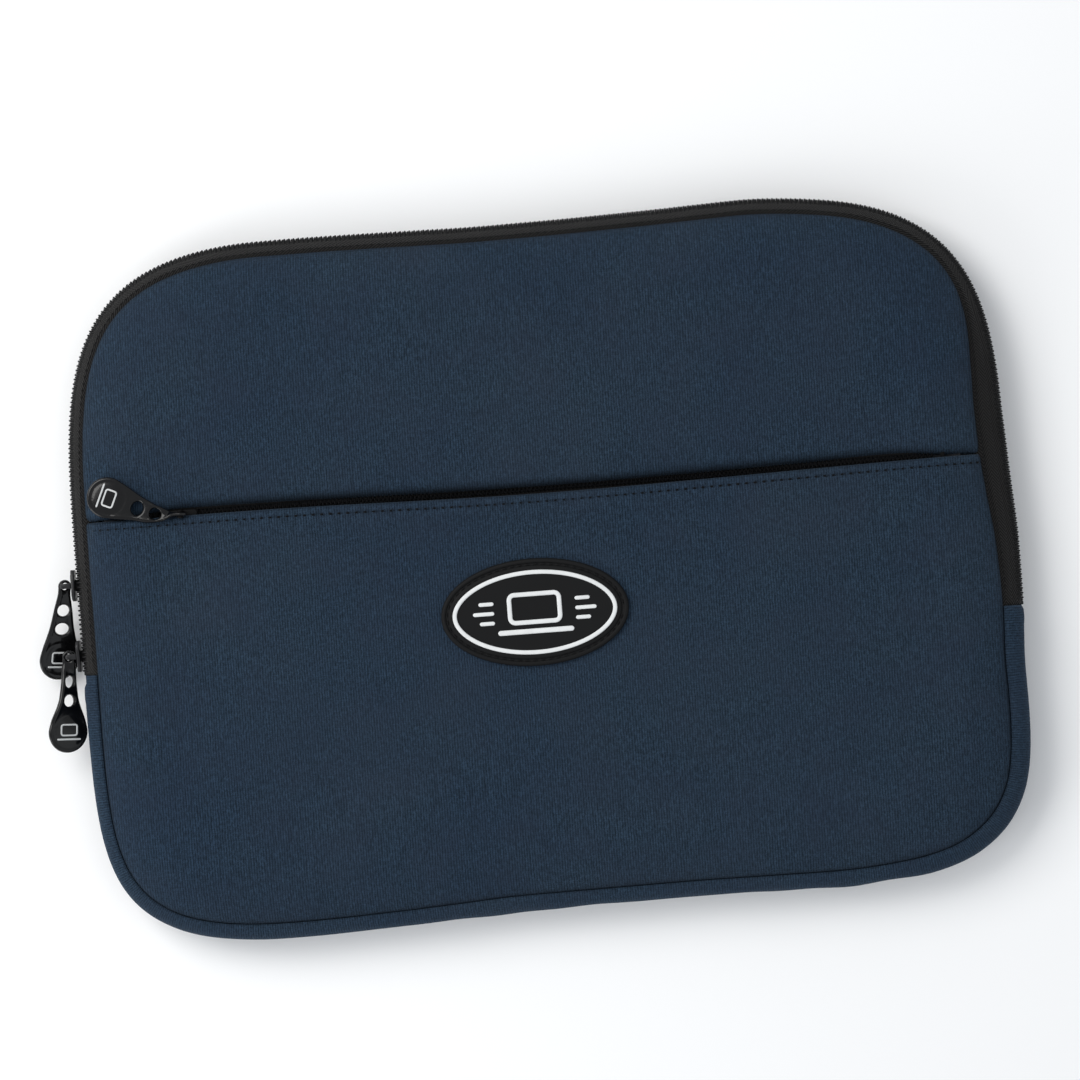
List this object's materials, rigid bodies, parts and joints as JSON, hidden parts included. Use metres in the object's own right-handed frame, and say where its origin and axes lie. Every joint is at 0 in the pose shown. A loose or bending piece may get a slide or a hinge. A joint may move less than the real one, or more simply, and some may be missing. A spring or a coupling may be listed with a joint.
{
  "type": "laptop sleeve",
  "caption": "Flat zipped neoprene laptop sleeve with rounded corners, a zipped front pocket, hanging spoon-shaped zip pulls and an oval rubber badge.",
  "frame": {"origin": "centre of the sleeve's outline on the back face it lies on", "axes": "+Z out of the front, +X to the right seen from the front, +Y towards the top zipped edge"},
  "size_m": [0.3714, 0.262, 0.0314],
  "materials": {
    "neoprene": "navy jersey-faced neoprene",
    "lining": "black brushed knit",
    "binding": "black grosgrain",
    "pocket_wall": "thin woven lining",
    "zip_tape": "black herringbone tape",
    "zip_coil": "black nylon coil",
    "slider_metal": "black enamelled zinc",
    "pull_gloss": "glossy black",
    "badge_rubber": "matt moulded rubber",
    "badge_white": "raised white rubber"
  },
  "bodies": {
    "shell": {"back_panel": "neoprene", "back_lining": "lining", "bottom_gusset": "neoprene", "gusset_binding": "binding", "pocket_panel_lower": "neoprene", "pocket_back_wall_lower": "pocket_wall", "front_lining_lower": "lining", "main_zip_tape_back": "zip_tape", "main_zip_coil_back": "zip_coil", "main_zip_end_stops": "slider_metal"},
    "flap": {"front_panel_upper": "neoprene", "front_lining_upper": "lining", "pocket_panel_upper": "neoprene", "pocket_hem_fold": "neoprene", "pocket_back_wall_upper": "pocket_wall", "main_zip_tape_front": "zip_tape", "main_zip_coil_front": "zip_coil", "pocket_zip_tape_upper": "zip_tape", "pocket_zip_tape_lower": "zip_tape", "pocket_zip_coil": "zip_coil", "pocket_zip_stops": "slider_metal", "badge_base": "badge_rubber", "badge_ring": "badge_white", "badge_mark": "badge_white"},
    "upper_slider": {"upper_slider": "slider_metal", "upper_slider_bail": "slider_metal"},
    "upper_pull": {"upper_pull": "pull_gloss"},
    "lower_slider": {"lower_slider": "slider_metal", "lower_slider_bail": "slider_metal"},
    "lower_pull": {"lower_pull": "pull_gloss"},
    "pocket_slider": {"pocket_slider": "slider_metal", "pocket_slider_bail": "slider_metal"},
    "pocket_pull": {"pocket_pull": "pull_gloss"}
  },
  "joints": [
    {"name": "front_flap_hinge", "type": "hinge", "parent": "shell", "child": "flap", "pos_m": [0, -0.0375, 0.028], "axis": [1, 0, 0], "range_deg": [0, 90]},
    {"name": "upper_slider_slide", "type": "slide", "parent": "shell", "child": "upper_slider", "axis": [0, 1, 0], "range_m": [0, 0.045]},
    {"name": "lower_slider_slide", "type": "slide", "parent": "shell", "child": "lower_slider", "axis": [0, 1, 0], "range_m": [0, 0.01]},
    {"name": "pocket_slider_slide", "type": "slide", "parent": "flap", "child": "pocket_slider", "axis": [1, 0, 0], "range_m": [0, 0.26]},
    {"name": "upper_pull_swing", "type": "hinge", "parent": "upper_slider", "child": "upper_pull", "pos_m": [-0.1821, 0.0062, 0.013], "axis": [0, 0, -1], "range_deg": [0, 150]},
    {"name": "lower_pull_swing", "type": "hinge", "parent": "lower_slider", "child": "lower_pull", "pos_m": [-0.1821, -0.0205, 0.013], "axis": [0, 0, -1], "range_deg": [0, 150]},
    {"name": "pocket_pull_swing", "type": "hinge", "parent": "pocket_slider", "child": "pocket_pull", "pos_m": [-0.134, 0.02975, 0.0294], "axis": [0, 1, 0], "range_deg": [0, 170]}
  ]
}
